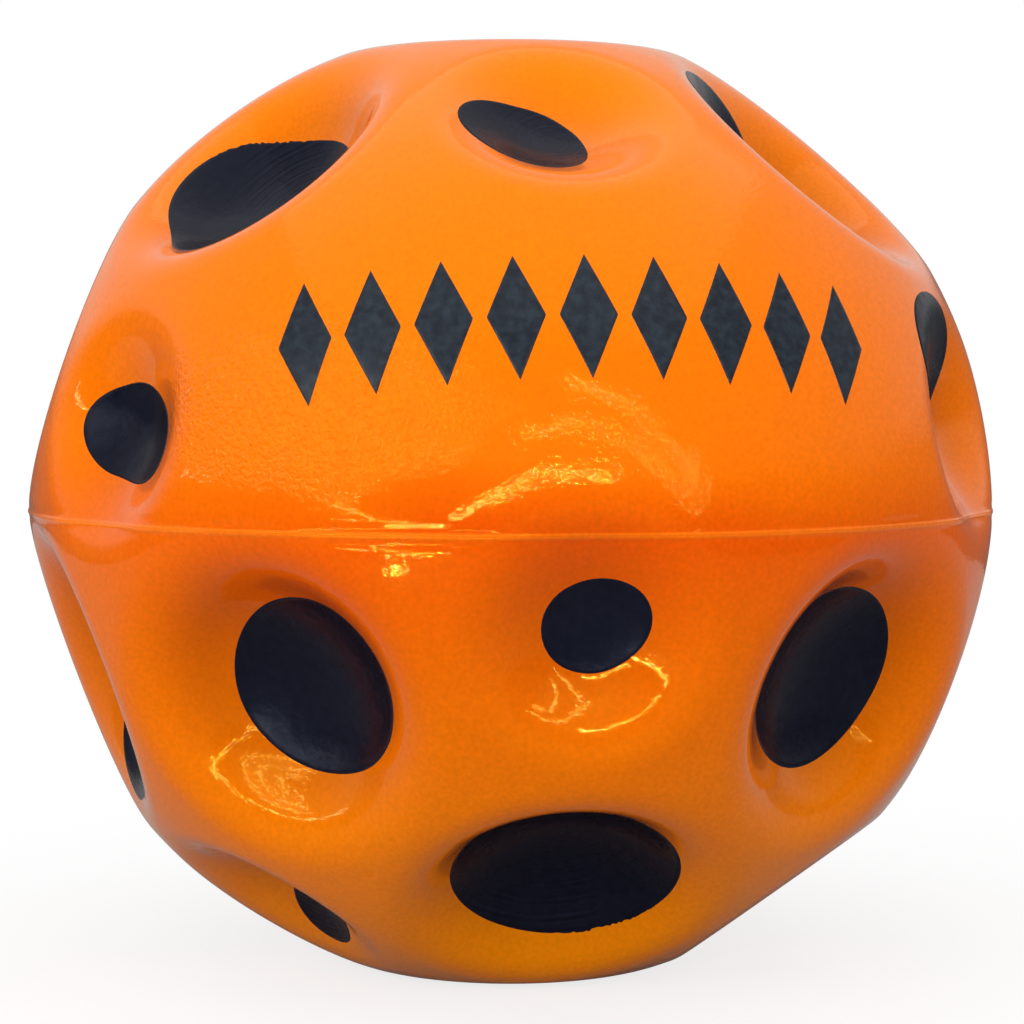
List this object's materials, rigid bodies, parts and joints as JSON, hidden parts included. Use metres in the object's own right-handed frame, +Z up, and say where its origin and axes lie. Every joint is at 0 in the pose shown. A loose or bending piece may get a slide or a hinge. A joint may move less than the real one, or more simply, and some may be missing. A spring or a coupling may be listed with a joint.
{
  "type": "bouncy ball",
  "caption": "Foam bouncy ball with round craters all over it, dark ink in the crater floors, and a fine parting line round its middle.",
  "frame": {"origin": "centre of the ball", "axes": "+Z up through the two pole craters, square to the parting line; -Y out through the middle of the smooth band at the front; +X to the right as the band is faced, along the longest extent"},
  "size_m": [0.0652, 0.0648, 0.0616],
  "materials": {
    "orange_skin": "high gloss, fine grain in the shine",
    "foam": "matt fine-celled foam",
    "crater_ink": "glossy ink with fine turned lines",
    "print_ink": "glossy printed ink"
  },
  "bodies": {
    "root": {"foam_core": "foam", "skin_upper": "orange_skin", "skin_lower": "orange_skin", "front_print": "print_ink", "ink_top": "crater_ink", "ink_shoulder_1": "crater_ink", "ink_shoulder_2": "crater_ink", "ink_shoulder_3": "crater_ink", "ink_crown_1": "crater_ink", "ink_crown_2": "crater_ink", "ink_crown_3": "crater_ink", "ink_upper_1": "crater_ink", "ink_upper_2": "crater_ink", "ink_upper_3": "crater_ink", "ink_upper_4": "crater_ink", "ink_above_line_1": "crater_ink", "ink_above_line_2": "crater_ink", "ink_above_line_3": "crater_ink", "ink_below_line_1": "crater_ink", "ink_below_line_2": "crater_ink", "ink_below_line_3": "crater_ink", "ink_lower_1": "crater_ink", "ink_lower_2": "crater_ink", "ink_lower_3": "crater_ink", "ink_lower_4": "crater_ink", "ink_lower_5": "crater_ink", "ink_lower_6": "crater_ink", "ink_base_1": "crater_ink", "ink_base_2": "crater_ink", "ink_base_3": "crater_ink", "ink_foot_1": "crater_ink", "ink_foot_2": "crater_ink", "ink_foot_3": "crater_ink", "ink_bottom": "crater_ink"}
  },
  "joints": []
}
